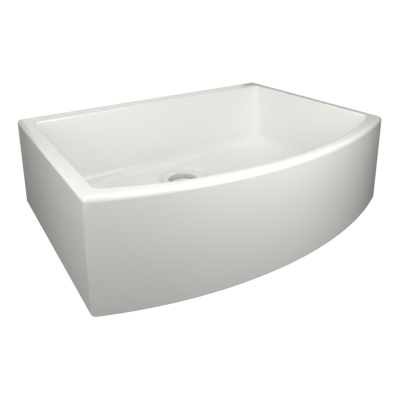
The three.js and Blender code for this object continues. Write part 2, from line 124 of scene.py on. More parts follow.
def pick(kind, wanted, open_edges=False):
    """Selects the open mesh's vertices, edges or faces by their place. An edge is told by its two
    ends, and a face by its middle and normal."""
    bpy.ops.mesh.select_mode(type=kind)
    bpy.ops.mesh.select_all(action="DESELECT")
    mesh = bmesh.from_edit_mesh(bpy.context.object.data)
    if kind == "VERT":
        found = [v for v in mesh.verts if wanted(v.co)]
    elif kind == "EDGE":
        found = [e for e in mesh.edges if wanted(e.verts[0].co, e.verts[1].co)]
        if open_edges:
            found = [e for e in found if e.is_boundary]
    else:
        found = [f for f in mesh.faces if wanted(f.calc_center_median(), f.normal)]
    for one in found:
        one.select = True
    mesh.select_flush_mode()
    bmesh.update_edit_mesh(bpy.context.object.data)


def join(*pieces):
    take(*pieces)
    bpy.ops.object.join()
    return pieces[0]


def finish_with(piece, kind, **settings):
    """Puts a modifier on a piece and applies it."""
    take(piece)
    modifier = piece.modifiers.new(kind.lower(), kind)
    for key, value in settings.items():
        setattr(modifier, key, value)
    bpy.ops.object.modifier_apply(modifier=modifier.name)


def cut(piece, cutter, operation="DIFFERENCE"):
    """A boolean with a cutter that isn't kept."""
    finish_with(
        piece, "BOOLEAN", object=cutter, operation=operation, solver="EXACT", use_self=True
    )
    bpy.data.objects.remove(cutter)


def close_up():
    """Merges the open mesh's doubled points and turns its faces outwards."""
    bpy.ops.mesh.select_all(action="SELECT")
    bpy.ops.mesh.remove_doubles(threshold=SAME_PLACE)
    bpy.ops.mesh.normals_make_consistent(inside=False)


def smooth(piece, angle=35):
    """Clears what boolean and bevel left without any area, and shades the piece softly up to an
    angle, with flat faces kept flat to the eye."""
    take(piece)
    edit()
    close_up()
    bpy.ops.mesh.dissolve_degenerate(threshold=SAME_PLACE)
    leave()
    bpy.ops.object.shade_smooth_by_angle(angle=math.radians(angle))
    finish_with(piece, "WEIGHTED_NORMAL", keep_sharp=True)


def paint(piece, second_material, wanted):
    """Gives some faces of the open mesh a second material."""
    piece.data.materials.append(second_material)
    pick("FACE", wanted)
    piece.active_material_index = 1
    bpy.ops.object.material_slot_assign()


def arc(r, z, radius, start, end, steps):
    """Points (radius, height) of a round in a turned profile, both ends in it, in mm."""
    turns = [math.radians(start + (end - start) * i / steps) for i in range(steps + 1)]
    return [(r + radius * math.cos(a), z + radius * math.sin(a)) for a in turns]


def turned(name, profile, steps=128):
    """A profile of (radius, height) points in mm, drawn point by point and spun about the waste's
    axis. It closes on itself or ends on the axis."""
    r, z = profile[0]
    piece = add(bpy.ops.mesh.primitive_plane_add, name, size=MM, location=beside_axis(r, z))
    bpy.ops.mesh.merge(type="CENTER")
    for next_r, next_z in profile[1:]:
        bpy.ops.mesh.extrude_vertices_move(
            TRANSFORM_OT_translate={"value": ((next_r - r) / 1000, 0, (next_z - z) / 1000)}
        )
        r, z = next_r, next_z
    bpy.ops.mesh.select_all(action="SELECT")
    bpy.ops.mesh.spin(steps=steps, angle=math.tau, center=OUTLET, axis=(0, 0, 1))
    close_up()
    leave()
    return piece


def repeat(count):
    """Copies the whole open mesh evenly round the waste's axis, and leaves edit mode."""
    bpy.ops.mesh.select_all(action="SELECT")
    bpy.ops.mesh.spin(
        steps=count - 1,
        dupli=True,
        angle=math.tau * (count - 1) / count,
        center=OUTLET,
        axis=(0, 0, 1),
    )
    leave()


def thread(name, core, crest, bottom, top, pitch):
    """A helical ridge on a turned wall, in mm: a small wedge screwed up about the waste's axis."""
    ridge = add(bpy.ops.mesh.primitive_circle_add, name, vertices=4, radius=MM)
    foot, tip = 0.42, 0.10  # half the wedge's height at its foot and its crest, in pitches
    wedge = ((core, -foot), (crest, -tip), (crest, tip), (core, foot))
    corners = bmesh.from_edit_mesh(ridge.data)
    for corner, (r, z) in zip(corners.verts, wedge):
        corner.co = (r / 1000, 0, (bottom + z * pitch) / 1000)
    bmesh.update_edit_mesh(ridge.data)
    finish_with(
        ridge,
        "SCREW",
        steps=64,
        render_steps=64,
        iterations=int((top - bottom) / pitch),
        screw_offset=pitch / 1000,
    )
    edit()
    close_up()
    pick("EDGE", lambda a, b: True, open_edges=True)
    bpy.ops.mesh.edge_face_add()
    bpy.ops.mesh.select_all(action="SELECT")
    bpy.ops.transform.translate(value=OUTLET)
    bpy.ops.mesh.normals_make_consistent(inside=False)
    leave()
    return ridge


# ---------------------------------------------------------------- the casting

BOW_STEPS = 700  # round the whole circle that each bow is a part of
RIM_Z = 0.218

# the outside's plan: a bowed front between two straight sides and a straight back
HALF_WIDTH, BACK_Y = 0.380, 0.286
BOW_RADIUS, BOW_CENTRE_Y = 0.9215, 0.6355
CORNER_Y = -0.204  # where the bow meets the sides
# how far from each upright corner its 10 mm round starts
FRONT_CORNER, BACK_CORNER = 0.00645, 0.010
CORNER_STEPS = 8
RIM_ROUND, FOOT_ROUND = 0.0099, 0.0025
BACK_EDGE_LESS = 0.6  # of the rim's round, taken off along the back

# the bowl's plan at the rim, and how far its walls lean in from there to the floor
MOUTH_HALF_WIDTH, MOUTH_BACK_Y = 0.358, 0.244
MOUTH_BOW_RADIUS, MOUTH_BOW_CENTRE_Y = 0.7939, 0.5249
MOUTH_CORNER, MOUTH_INSET, MOUTH_ROUND = 0.022, 0.006, 0.005
LEAN = 0.010
FLOOR_CORNER = 0.034
COVE = 0.028

# the floor falls 1 % to the dish, so by FALL over FALL_LENGTH
DISH, DISH_Z = 0.072, 0.027  # the dish's radius, and the height of its edge
FALL_LENGTH, FALL = 0.5, 0.005
FLOOR_Z = DISH_Z + FALL  # of the floor before it falls
SIDE_POINTS, BACK_POINTS = 36, 56


def at_rim(*points):
    return all(near(p.z, RIM_Z) for p in points)


def at_foot(*points):
    return all(near(p.z, 0) for p in points)


def at_floor(*points):
    return all(near(p.z, FLOOR_Z) for p in points)


def on_dish(v):
    """Whether a point is on the round edge of the dish."""
    return near(off_axis(v), DISH, 1e-4)


def upright(a, b):
    """Whether an edge between two points is one of the upright ones."""
    return near(a.x, b.x) and near(a.y, b.y)


def from_corner(v, half_width, y):
    """How far a point is, in plan, from the nearer of two mirrored corners."""
    return math.dist((abs(v.x), v.y), (half_width, y))


def cut_to_plan(half_width, back_y, z=None, fill=False):
    """Cuts a disc to the straight sides and back of a sink's plan."""
    for co, no in (
        ((half_width, 0, 0), (1, 0, 0)),
        ((-half_width, 0, 0), (-1, 0, 0)),
        ((0, back_y, 0), (0, 1, 0)),
    ):
        pick("FACE", lambda c, n: z is None or near(c.z, z))
        bpy.ops.mesh.bisect(plane_co=co, plane_no=no, clear_outer=True, use_fill=fill)


def plan_face(radius, centre_y, half_width, back_y, corner, clear, z):
    """A flat face of the bowl's plan: straight sides and back, bowed front, rounded corners."""

    def at_height(*points):
        return all(near(p.z, z) for p in points)

    front_y = centre_y - math.sqrt(radius**2 - half_width**2)
    tangent = math.tan((math.pi / 2 - math.asin(half_width / radius)) / 2)
    bpy.ops.mesh.select_all(action="DESELECT")
    bpy.ops.mesh.primitive_circle_add(
        vertices=BOW_STEPS, radius=radius, fill_type="NGON", location=(0, centre_y, z)
    )
    cut_to_plan(half_width, back_y, z)
    # a clear stretch of edge for each front corner's round
    pick("VERT", lambda v: at_height(v) and 1e-4 < from_corner(v, half_width, front_y) < clear)
    bpy.ops.mesh.dissolve_verts()
    for y, offset in ((front_y, corner * tangent), (back_y, corner)):
        pick("VERT", lambda v: at_height(v) and near(abs(v.x), half_width) and near(v.y, y, 1e-4))
        bpy.ops.mesh.bevel(
            offset=offset, segments=CORNER_STEPS, affect="VERTICES", clamp_overlap=False
        )
    # the straight sides and back get points of their own, for the floor's strips to start from
    pick("FACE", lambda c, n: at_height(c))
    bpy.ops.mesh.delete(type="ONLY_FACE")
    for on_it, cuts in (
        (lambda a, b: near(abs(a.x), half_width) and near(a.x, b.x), SIDE_POINTS),
        (lambda a, b: near(a.y, back_y) and near(b.y, back_y), BACK_POINTS),
    ):
        pick("EDGE", lambda a, b: at_height(a, b) and on_it(a, b))
        bpy.ops.mesh.subdivide(number_cuts=cuts)
    pick("VERT", at_height)
    bpy.ops.mesh.edge_face_add()


def outside_block():
    """The outside: a thick disc cut to the plan, with its upright corners, rim and foot rounded."""
    block = add(
        bpy.ops.mesh.primitive_cylinder_add,
        "sink_casting",
        vertices=BOW_STEPS,
        radius=BOW_RADIUS,
        depth=RIM_Z,
        location=(0, BOW_CENTRE_Y, RIM_Z / 2),
    )
    cut_to_plan(HALF_WIDTH, BACK_Y, fill=True)
    # a clear stretch of apron for each front corner's round
    pick("EDGE", lambda a, b: upright(a, b) and 1e-4 < from_corner(a, HALF_WIDTH, CORNER_Y) < 0.016)
    bpy.ops.mesh.dissolve_edges(use_verts=True)
    for y, offset in ((CORNER_Y, FRONT_CORNER), (BACK_Y, BACK_CORNER)):
        pick("EDGE", lambda a, b: upright(a, b) and from_corner(a, HALF_WIDTH, y) < 1e-4)
        bpy.ops.mesh.bevel(
            offset=offset, segments=CORNER_STEPS, affect="EDGES", clamp_overlap=False
        )
    # the rim's round gets smaller from step to step through the back corners
    pick("EDGE", at_rim)
    bpy.ops.transform.edge_bevelweight(value=1)
    steps = CORNER_STEPS + 1
    for step in range(steps):
        y = BACK_Y - BACK_CORNER + BACK_CORNER * math.sin(math.radians(10 * step + 5))
        pick("EDGE", lambda a, b: at_rim(a, b) and (a.y + b.y) / 2 > y)
        bpy.ops.transform.edge_bevelweight(value=-BACK_EDGE_LESS / steps)
    finish_with(
        block,
        "BEVEL",
        limit_method="WEIGHT",
        width=RIM_ROUND,
        segments=10,
        use_clamp_overlap=False,
    )
    edit()
    pick("EDGE", at_foot)
    bpy.ops.mesh.bevel(offset=FOOT_ROUND, segments=5, affect="EDGES", clamp_overlap=False)
    pick("FACE", lambda c, n: abs(n.z) > 0.999 and (at_foot(c) or at_rim(c)))
    bpy.ops.mesh.delete(type="FACE")
    leave()
    return block


def inside_mouth(*points):
    """Whether points of the rim's height are on the bowl's mouth, and not on the rim round it."""
    half_width, back_y = MOUTH_HALF_WIDTH - MOUTH_INSET, MOUTH_BACK_Y - MOUTH_INSET
    corner = MOUTH_CORNER - MOUTH_INSET

    def inside(v):
        if abs(v.x) > half_width - corner and v.y > back_y - corner:
            return from_corner(v, half_width - corner, back_y - corner) < corner + 5e-4
        from_bow_centre = math.dist(v.xy, (0, MOUTH_BOW_CENTRE_Y))
        behind_bow = from_bow_centre < MOUTH_BOW_RADIUS - MOUTH_INSET + 5e-5
        return behind_bow and abs(v.x) < half_width + 1e-4 and v.y < back_y + 1e-4

    return at_rim(*points) and all(inside(v) for v in points)


def bowl_skin():
    """The bowl: leaning walls between two plans, so that their corners open out on the way down,
    a rounded mouth, a cove, and a floor drawn in to the dish and down through the outlet."""
    bowl = add(bpy.ops.mesh.primitive_plane_add, "bowl_skin", size=0.01)
    bpy.ops.mesh.delete(type="VERT")
    plan_face(
        MOUTH_BOW_RADIUS,
        MOUTH_BOW_CENTRE_Y,
        MOUTH_HALF_WIDTH,
        MOUTH_BACK_Y,
        MOUTH_CORNER,
        clear=0.030,
        z=RIM_Z,
    )
    pick("FACE", lambda c, n: at_rim(c))
    bpy.ops.mesh.inset(thickness=MOUTH_INSET)
    bpy.ops.mesh.delete(type="ONLY_FACE")
    plan_face(
        MOUTH_BOW_RADIUS - LEAN,
        MOUTH_BOW_CENTRE_Y,
        MOUTH_HALF_WIDTH - LEAN,
        MOUTH_BACK_Y - LEAN,
        FLOOR_CORNER,
        clear=0.026,
        z=FLOOR_Z,
    )
    pick("EDGE", lambda a, b: inside_mouth(a, b) or at_floor(a, b))
    bpy.ops.mesh.bridge_edge_loops()
    bpy.ops.mesh.select_all(action="SELECT")
    bpy.ops.mesh.normals_make_consistent(inside=False)
    pick("EDGE", at_floor)
    bpy.ops.mesh.bevel(offset=COVE, segments=14, affect="EDGES", clamp_overlap=False)
    pick("EDGE", inside_mouth)
    bpy.ops.mesh.bevel(offset=MOUTH_ROUND, segments=6, affect="EDGES", clamp_overlap=False)

    # the floor, as strips from the cove's foot to the round edge of the dish
    pick("FACE", lambda c, n: at_floor(c) and abs(n.z) > 0.999)
    bpy.ops.mesh.delete(type="ONLY_FACE")
    pick("EDGE", at_floor, open_edges=True)
    bpy.ops.mesh.extrude_region()
    centre = (OUTLET[0], OUTLET[1], FLOOR_Z)
    bpy.ops.transform.tosphere(value=1, center_override=centre)
    ring = [v for v in bmesh.from_edit_mesh(bowl.data).verts if v.select]
    factor = DISH / off_axis(ring[0].co)
    bpy.ops.transform.resize(value=(factor, factor, 1), center_override=centre)
    pick("EDGE", lambda a, b: at_floor(a, b) and on_dish(a) != on_dish(b))
    bpy.ops.mesh.subdivide(number_cuts=5)
    # it falls to the dish, and the mouth stays where it is
    pick("VERT", lambda v: v.z > 0.15)
    bpy.ops.mesh.hide()
    pick("VERT", lambda v: at_floor(v) and on_dish(v))
    bpy.ops.transform.translate(
        value=(0, 0, -FALL),
        use_proportional_edit=True,
        proportional_edit_falloff="LINEAR",
        proportional_size=FALL_LENGTH,
    )
    bpy.ops.mesh.reveal(select=False)

    # the dish's even curve, the flat seat for the flange, the rounded edge and the hole, in mm
    curve = [(72 - t, 22.5 + 4.5 * math.cos(math.pi * t / 12)) for t in range(1, 13)]
    hole = [(47, 2.5), (48.5, 0.4), (49.5, 0)]
    pick("EDGE", lambda a, b: on_dish(a) and on_dish(b), open_edges=True)
    radius, height = 1000 * DISH, 1000 * DISH_Z
    for r, z in curve + arc(49.5, 15.5, 2.5, 90, 180, 6) + hole:
        bpy.ops.mesh.extrude_region()
        bpy.ops.transform.resize(value=(r / radius, r / radius, 1), center_override=OUTLET)
        bpy.ops.transform.translate(value=(0, 0, (z - height) / 1000))
        radius, height = r, z
    leave()
    return bowl


def casting():
    """The whole sink: outside and bowl, joined to each other by the rim and the underside."""
    sink = join(outside_block(), bowl_skin())
    edit()
    for at_level in (at_rim, at_foot):
        pick("EDGE", at_level, open_edges=True)
        bpy.ops.mesh.fill(use_beauty=True)
    close_up()
    # the kiln's bare foot: what the casting stood on isn't glazed
    sink.data.materials.append(glazed_fireclay())
    paint(sink, bare_fireclay(), lambda c, n: c.z < 0.0012 and n.z < -0.4)
    leave()
    return sink


# ---------------------------------------------------------------- materials


def node(tree, kind, inputs=(), **settings):
    """A node with its settings, and with its inputs set or linked."""
    new = tree.nodes.new(kind)
    for name, value in settings.items():
        setattr(new, name, value)
    for key, value in dict(inputs).items():
        if isinstance(value, bpy.types.NodeSocket):
            tree.links.new(value, new.inputs[key])
        else:
            new.inputs[key].default_value = value
    return new


def surface(name, **settings):
    """A new material: its tree, its shader, and its place in millimetres."""
    material = bpy.data.materials.new(name)
    material.use_nodes = True
    tree = material.node_tree
    shader = tree.nodes["Principled BSDF"]
    for key, value in settings.items():
        shader.inputs[key.replace("_", " ")].default_value = value
    place = node(tree, "ShaderNodeTexCoord").outputs["Object"]
    in_mm = node(tree, "ShaderNodeVectorMath", {0: place, "Scale": 1000}, operation="SCALE")
    return material, tree, shader, in_mm.outputs[0]


def glazed_fireclay():
    """White tin-opacified glaze over fireclay: glossy, thick enough to flow, so its face is never
    quite flat. The eye gets soft-edged, slightly wavering reflections and a nearly neutral
    white."""
    material, tree, shader, mm = surface("white_glazed_fireclay", Roughness=0.16, IOR=1.5)
    clouds = node(tree, "ShaderNodeTexNoise", {"Vector": mm, "Scale": 1 / 90})
    whites = {0: clouds.outputs["Fac"], 6: linear("#eeefef"), 7: linear("#f2f2f3")}
    glaze = node(tree, "ShaderNodeMix", whites, data_type="RGBA")
    # iron specks under the glaze, a third of a millimetre across and 20 mm apart
    cells = node(tree, "ShaderNodeTexVoronoi", {"Vector": mm, "Scale": 1 / 20})
    edges = {"From Min": 0.012, "From Max": 0.022, "To Min": 1, "To Max": 0}
    speck = node(tree, "ShaderNodeMapRange", {0: cells.outputs["Distance"], **edges})
    specked = {0: speck.outputs[0], 6: glaze.outputs[2], 7: linear("#cfcabc")}
    colour = node(tree, "ShaderNodeMix", specked, data_type="RGBA")
    tree.links.new(colour.outputs[2], shader.inputs["Base Color"])
    # gloss that varies a little from place to place
    flow = node(tree, "ShaderNodeTexNoise", {"Vector": mm, "Scale": 1 / 35})
    gloss = {"From Min": 0.3, "From Max": 0.7, "To Min": 0.13, "To Max": 0.2}
    varied = node(tree, "ShaderNodeMapRange", {0: flow.outputs["Fac"], **gloss})
    tree.links.new(varied.outputs[0], shader.inputs["Roughness"])
    # the pour's slow waves, and the orange peel of a sprayed glaze
    waves = node(tree, "ShaderNodeTexNoise", {"Vector": mm, "Scale": 1 / 55, "Detail": 1})
    peel = node(tree, "ShaderNodeTexNoise", {"Vector": mm, "Scale": 1 / 3.5, "Detail": 1})
    slow = {"Height": waves.outputs["Fac"], "Distance": 0.12 * MM, "Strength": 1}
    wavy = node(tree, "ShaderNodeBump", slow).outputs[0]
    fine = {"Height": peel.outputs["Fac"], "Distance": 0.003 * MM, "Strength": 1, "Normal": wavy}
    tree.links.new(node(tree, "ShaderNodeBump", fine).outputs[0], shader.inputs["Normal"])
    return material


def bare_fireclay():
    """Fired body with no glaze: a dry buff-grey stone, gritty with grog."""
    material, tree, shader, mm = surface("bare_fireclay", Roughness=0.9, IOR=1.5)
    stains = node(tree, "ShaderNodeTexNoise", {"Vector": mm, "Scale": 1 / 40})
    buffs = {0: stains.outputs["Fac"], 6: linear("#cdbfa6"), 7: linear("#dcd2bf")}
    body = node(tree, "ShaderNodeMix", buffs, data_type="RGBA")
    grit = {"Vector": mm, "Scale": 1 / 1.6, "Detail": 3, "Roughness": 0.7}
    grog = node(tree, "ShaderNodeTexNoise", grit).outputs["Fac"]
    grains = node(tree, "ShaderNodeMapRange", {0: grog, "From Min": 0.62, "From Max": 0.72})
    gritty = {0: grains.outputs[0], 6: body.outputs[2], 7: linear("#8f8270")}
    colour = node(tree, "ShaderNodeMix", gritty, data_type="RGBA")
    tree.links.new(colour.outputs[2], shader.inputs["Base Color"])
    rough = node(tree, "ShaderNodeBump", {"Height": grog, "Distance": 0.25 * MM, "Strength": 1})
    tree.links.new(rough.outputs[0], shader.inputs["Normal"])
    return material


def stoved_enamel(name, dark, light):
    """Enamel stoved on pressed steel: a smooth hard gloss with a faint peel. The cover coat is
    white, and the grey one used inside the cup is painted shade, standing for the shade down the
    barrel."""
    material, tree, shader, mm = surface(name, Roughness=0.2, IOR=1.5)
    clouds = node(tree, "ShaderNodeTexNoise", {"Vector": mm, "Scale": 1 / 15})
    tones = {0: clouds.outputs["Fac"], 6: linear(dark), 7: linear(light)}
    colour = node(tree, "ShaderNodeMix", tones, data_type="RGBA")
    tree.links.new(colour.outputs[2], shader.inputs["Base Color"])
    flow = node(tree, "ShaderNodeTexNoise", {"Vector": mm, "Scale": 1 / 8})
    gloss = {"From Min": 0.3, "From Max": 0.7, "To Min": 0.16, "To Max": 0.26}
    varied = node(tree, "ShaderNodeMapRange", {0: flow.outputs["Fac"], **gloss})
    tree.links.new(varied.outputs[0], shader.inputs["Roughness"])
    peel = node(tree, "ShaderNodeTexNoise", {"Vector": mm, "Scale": 1 / 1.5, "Detail": 1})
    faint = {"Height": peel.outputs["Fac"], "Distance": 0.004 * MM, "Strength": 1}
    tree.links.new(node(tree, "ShaderNodeBump", faint).outputs[0], shader.inputs["Normal"])
    return material


def moulded_rubber():
    """Black moulded nitrile: nearly matt, with bloom in dull grey patches and a fine eroded
    tooling texture."""
    material, tree, shader, mm = surface("moulded_rubber", Roughness=0.62, IOR=1.52)
    patches = node(tree, "ShaderNodeTexNoise", {"Vector": mm, "Scale": 1 / 7, "Detail": 4})
    edges = {"From Min": 0.4, "From Max": 0.75}
    bloom = node(tree, "ShaderNodeMapRange", {0: patches.outputs["Fac"], **edges}).outputs[0]
    blacks = {0: bloom, 6: linear("#1d1e20"), 7: linear("#2f3032")}
    colour = node(tree, "ShaderNodeMix", blacks, data_type="RGBA")
    tree.links.new(colour.outputs[2], shader.inputs["Base Color"])
    dulled = node(tree, "ShaderNodeMapRange", {0: bloom, "To Min": 0.55, "To Max": 0.72})
    tree.links.new(dulled.outputs[0], shader.inputs["Roughness"])
    tooling = node(tree, "ShaderNodeTexNoise", {"Vector": mm, "Scale": 1 / 0.5})
    eroded = {"Height": tooling.outputs["Fac"], "Distance": 0.02 * MM, "Strength": 1}
    tree.links.new(node(tree, "ShaderNodeBump", eroded).outputs[0], shader.inputs["Normal"])
    return material


def foam():
    """Grey closed-cell polyethylene foam: dull, with cut cells half a millimetre across."""
    material, tree, shader, mm = surface("foam", Roughness=0.85, IOR=1.5)
    cells = node(tree, "ShaderNodeTexVoronoi", {"Vector": mm, "Scale": 1 / 0.5})
    depth = cells.outputs["Distance"]
    greys = {0: depth, 6: linear("#aeada6"), 7: linear("#cccbc4")}
    colour = node(tree, "ShaderNodeMix", greys, data_type="RGBA")
    tree.links.new(colour.outputs[2], shader.inputs["Base Color"])
    pits = node(tree, "ShaderNodeBump", {"Height": depth, "Distance": 0.15 * MM, "Strength": 1})
    tree.links.new(pits.outputs[0], shader.inputs["Normal"])
    return material


def pressed_fibre():
    """Brown pressed fibre board: matt, with long fibres laid flat in its face."""
    material, tree, shader, mm = surface("pressed_fibre", Roughness=0.85, IOR=1.45)
    drawn_out = node(tree, "ShaderNodeMapping", {"Vector": mm, "Scale": (0.25, 2, 2)})
    strands = {"Vector": drawn_out.outputs[0], "Scale": 1, "Detail": 5, "Roughness": 0.7}
    fibres = node(tree, "ShaderNodeTexNoise", strands).outputs["Fac"]
    contrast = node(tree, "ShaderNodeMapRange", {0: fibres, "From Min": 0.3, "From Max": 0.7})
    browns = {0: contrast.outputs[0], 6: linear("#96714a"), 7: linear("#c39d6c")}
    colour = node(tree, "ShaderNodeMix", browns, data_type="RGBA")
    tree.links.new(colour.outputs[2], shader.inputs["Base Color"])
    felt = node(tree, "ShaderNodeBump", {"Height": fibres, "Distance": 0.06 * MM, "Strength": 1})
    tree.links.new(felt.outputs[0], shader.inputs["Normal"])
    return material


def metal(name, light, dark, gloss, dull, marks, depth):
    """A metal with clouds in its colour, and marks that dull it and stand out by depth mm."""
    material, tree, shader, mm = surface(name, Metallic=1)
    smudges = node(tree, "ShaderNodeTexNoise", {"Vector": mm, "Scale": 1 / 9, "Detail": 3})
    tones = {0: smudges.outputs["Fac"], 6: linear(dark), 7: linear(light)}
    colour = node(tree, "ShaderNodeMix", tones, data_type="RGBA")
    tree.links.new(colour.outputs[2], shader.inputs["Base Color"])
    lines = marks(tree, mm)
    sheen = {0: lines, "From Min": 0.3, "From Max": 0.7, "To Min": gloss, "To Max": dull}
    tree.links.new(node(tree, "ShaderNodeMapRange", sheen).outputs[0], shader.inputs["Roughness"])
    relief = node(tree, "ShaderNodeBump", {"Height": lines, "Distance": depth * MM, "Strength": 1})
    tree.links.new(relief.outputs[0], shader.inputs["Normal"])
    return material


def lathe_lines(tree, mm):
    """Fine rings about the waste's axis, 0.5 mm apart, as a polishing belt or a tool leaves them.
    Real ones are finer than a render this size can show."""
    on_axis = {"Vector": mm, "Location": (0, -1000 * OUTLET[1], 0), "Scale": (1, 1, 0)}
    flat = node(tree, "ShaderNodeMapping", on_axis).outputs[0]
    radius = node(tree, "ShaderNodeVectorMath", {0: flat}, operation="LENGTH").outputs["Value"]
    height = node(tree, "ShaderNodeSeparateXYZ", {0: mm}).outputs[2]
    across = node(tree, "ShaderNodeCombineXYZ", {0: radius, 2: height}).outputs[0]
    rings = {"Vector": across, "Scale": 1 / 0.5, "Detail": 3, "Roughness": 0.6}
    return node(tree, "ShaderNodeTexNoise", rings).outputs["Fac"]


def spangle(tree, mm):
    """The soft clouds of a plated casting, about 1.5 mm across."""
    clouds = {"Vector": mm, "Scale": 1 / 1.5, "Detail": 4, "Roughness": 0.6}
    return node(tree, "ShaderNodeTexNoise", clouds).outputs["Fac"]


def brushed_stainless():
    """Pressed 18/8 stainless, polished on the lathe: bright, with fine turning lines round it."""
    return metal("brushed_stainless", "#d4d5d3", "#c6c8c7", 0.2, 0.34, lathe_lines, 0.003)


def zinc_plate():
    """Zinc-plated die casting: bluish grey, softly cloudy, duller than the steel."""
    return metal("zinc_plate", "#b9bdbf", "#9ba0a4", 0.34, 0.52, spangle, 0.02)


def turned_brass():
    """Bar brass straight from the lathe: yellow, bright, with tool lines round it."""
    return metal("turned_brass", "#dfc07a", "#c79c52", 0.22, 0.36, lathe_lines, 0.004)


def moulded_plastic():
    """Gloss white moulded plastic: it scatters light inside, so its shadows are soft and warm."""
    material, tree, shader, mm = surface(
        "moulded_plastic", Roughness=0.22, IOR=1.49, Subsurface_Weight=0.08, Subsurface_Scale=0.002
    )
    clouds = node(tree, "ShaderNodeTexNoise", {"Vector": mm, "Scale": 1 / 12})
    whites = {0: clouds.outputs["Fac"], 6: linear("#edece7"), 7: linear("#f1f0ec")}
    colour = node(tree, "ShaderNodeMix", whites, data_type="RGBA")
    tree.links.new(colour.outputs[2], shader.inputs["Base Color"])
    handling = node(tree, "ShaderNodeTexNoise", {"Vector": mm, "Scale": 1 / 6, "Detail": 3})
    gloss = {"From Min": 0.3, "From Max": 0.7, "To Min": 0.2, "To Max": 0.3}
    worn = node(tree, "ShaderNodeMapRange", {0: handling.outputs["Fac"], **gloss})
    tree.links.new(worn.outputs[0], shader.inputs["Roughness"])
    shrinkage = node(tree, "ShaderNodeTexNoise", {"Vector": mm, "Scale": 1 / 2.5, "Detail": 1})
    sunk = {"Height": shrinkage.outputs["Fac"], "Distance": 0.002 * MM, "Strength": 1}
    tree.links.new(node(tree, "ShaderNodeBump", sunk).outputs[0], shader.inputs["Normal"])
    return material


# ---------------------------------------------------------------- the fixed waste, in mm

FINE_EDGE = {"limit_method": "ANGLE", "angle_limit": math.radians(35), "segments": 3}


def flange_seal():
    """A foam ring, squeezed so that its two free edges bulge."""
    inner, outer = arc(50.4, 19.3, 0.95, 270, 90, 8), arc(53.1, 19.3, 0.95, 90, -90, 8)
    return turned("foam_seal", inner + outer + [(50.4, 18.35)])


def strainer_body():
    """One steel pressing: flange, barrel, cup and spud, with the cross welded in the spud's mouth
    and a thread rolled on barrel and spud."""
    shell = turned(
        "strainer_shell",
        [(56, 20.6)]
        + arc(55.2, 21.4, 0.8, 0, 90, 4)
        + arc(44.2, 18.2, 4, 90, 180, 10)
        + [(40.2, 16.6)]
        + arc(33.8, -27.4, 6.4, 0, -90, 12)
        + arc(20.5, -35.8, 2, 90, 180, 6)
        + [(18.5, -55.8), (23.1, -55.8), (23.1, -35.4)]
        + arc(33.8, -27.4, 7.4, -90, 0, 12)
        + arc(44.2, 18.2, 2.4, 180, 90, 6)
        + [(56, 20.6)],
    )
    hub = turned("hub", [(6.4, -42.3), (6.4, -37.3), (9.4, -37.3), (9.4, -42.3), (6.4, -42.3)], 48)
    middle = beside_axis(14.7, -39.8)
    arms = add(bpy.ops.mesh.primitive_cube_add, "arms", size=MM, location=middle)
    bpy.ops.transform.resize(value=(13, 3, 5), center_override=middle)
    repeat(4)
    cut(hub, arms, "UNION")
    cut(shell, hub, "UNION")
    finish_with(shell, "BEVEL", width=0.3 * MM, **FINE_EDGE)
    smooth(shell)
    barrel = thread("barrel_thread", 41.0, 41.8, -26, 15, 2.3)
    spud = thread("spud_thread", 22.9, 23.9, -54.5, -37.5, 2.2)
    piece = join(shell, barrel, spud)
    piece.name = piece.data.name = "strainer"
    return piece


def sealing_ring():
    """A flat rubber ring with rounded edges and three shallow grooves round both faces."""
    inner, outer, bottom, top, edge = 42.1, 54.8, -5.3, -0.3, 0.5
    groove, grooves = 0.3, 3
    marks = [inner + (outer - inner) * (i + 1) / (grooves + 1) for i in range(grooves)]
    upper = [p for r in marks for p in ((r - groove, top), (r, top - groove), (r + groove, top))]
    lower = [
        p
        for r in reversed(marks)
        for p in ((r + groove, bottom), (r, bottom + groove), (r - groove, bottom))
    ]
    return turned(
        "sealing_ring",
        arc(inner + edge, top - edge, edge, 180, 90, 4)
        + upper
        + arc(outer - edge, top - edge, edge, 90, 0, 4)
        + arc(outer - edge, bottom + edge, edge, 0, -90, 4)
        + lower
        + arc(inner + edge, bottom + edge, edge, -90, -180, 4)
        + [(inner, top - edge)],
    )


def friction_washer():
    """A thin flat ring, its edges barely broken."""
    section = [(42.1, -7.1), (42.1, -5.6), (53.8, -5.6), (53.8, -7.1), (42.1, -7.1)]
    ring = turned("fibre_washer", section)
    finish_with(ring, "BEVEL", width=0.2 * MM, **FINE_EDGE)
    return ring


def lock_nut():
    """A flanged ring nut with six lugs, each drawn out of the hub's wall."""
    nut = turned(
        "lock_ring_nut",
        [(42.1, -7.4), (53.8, -7.4), (54.8, -8.4), (54.8, -11.4), (48.1, -11.4)]
        + [(48.1, -20.4), (47.1, -21.4), (42.1, -21.4), (42.1, -7.4)],
    )
    middle = beside_axis(48.5, -16)
    lugs = add(bpy.ops.mesh.primitive_cube_add, "lugs", size=MM, location=middle)
    bpy.ops.transform.resize(value=(6.6, 14, 9.8), center_override=middle)
    # the outer face is a little smaller, so that the casting leaves its die
    pick("FACE", lambda c, n: n.x > 0.9)
    bpy.ops.transform.resize(value=(1, 0.82, 0.9), center_override=beside_axis(51.8, -11.5))
    repeat(6)
    cut(nut, lugs, "UNION")
    finish_with(nut, "BEVEL", width=0.5 * MM, **FINE_EDGE)
    return nut


# ---------------------------------------------------------------- the basket, in mm


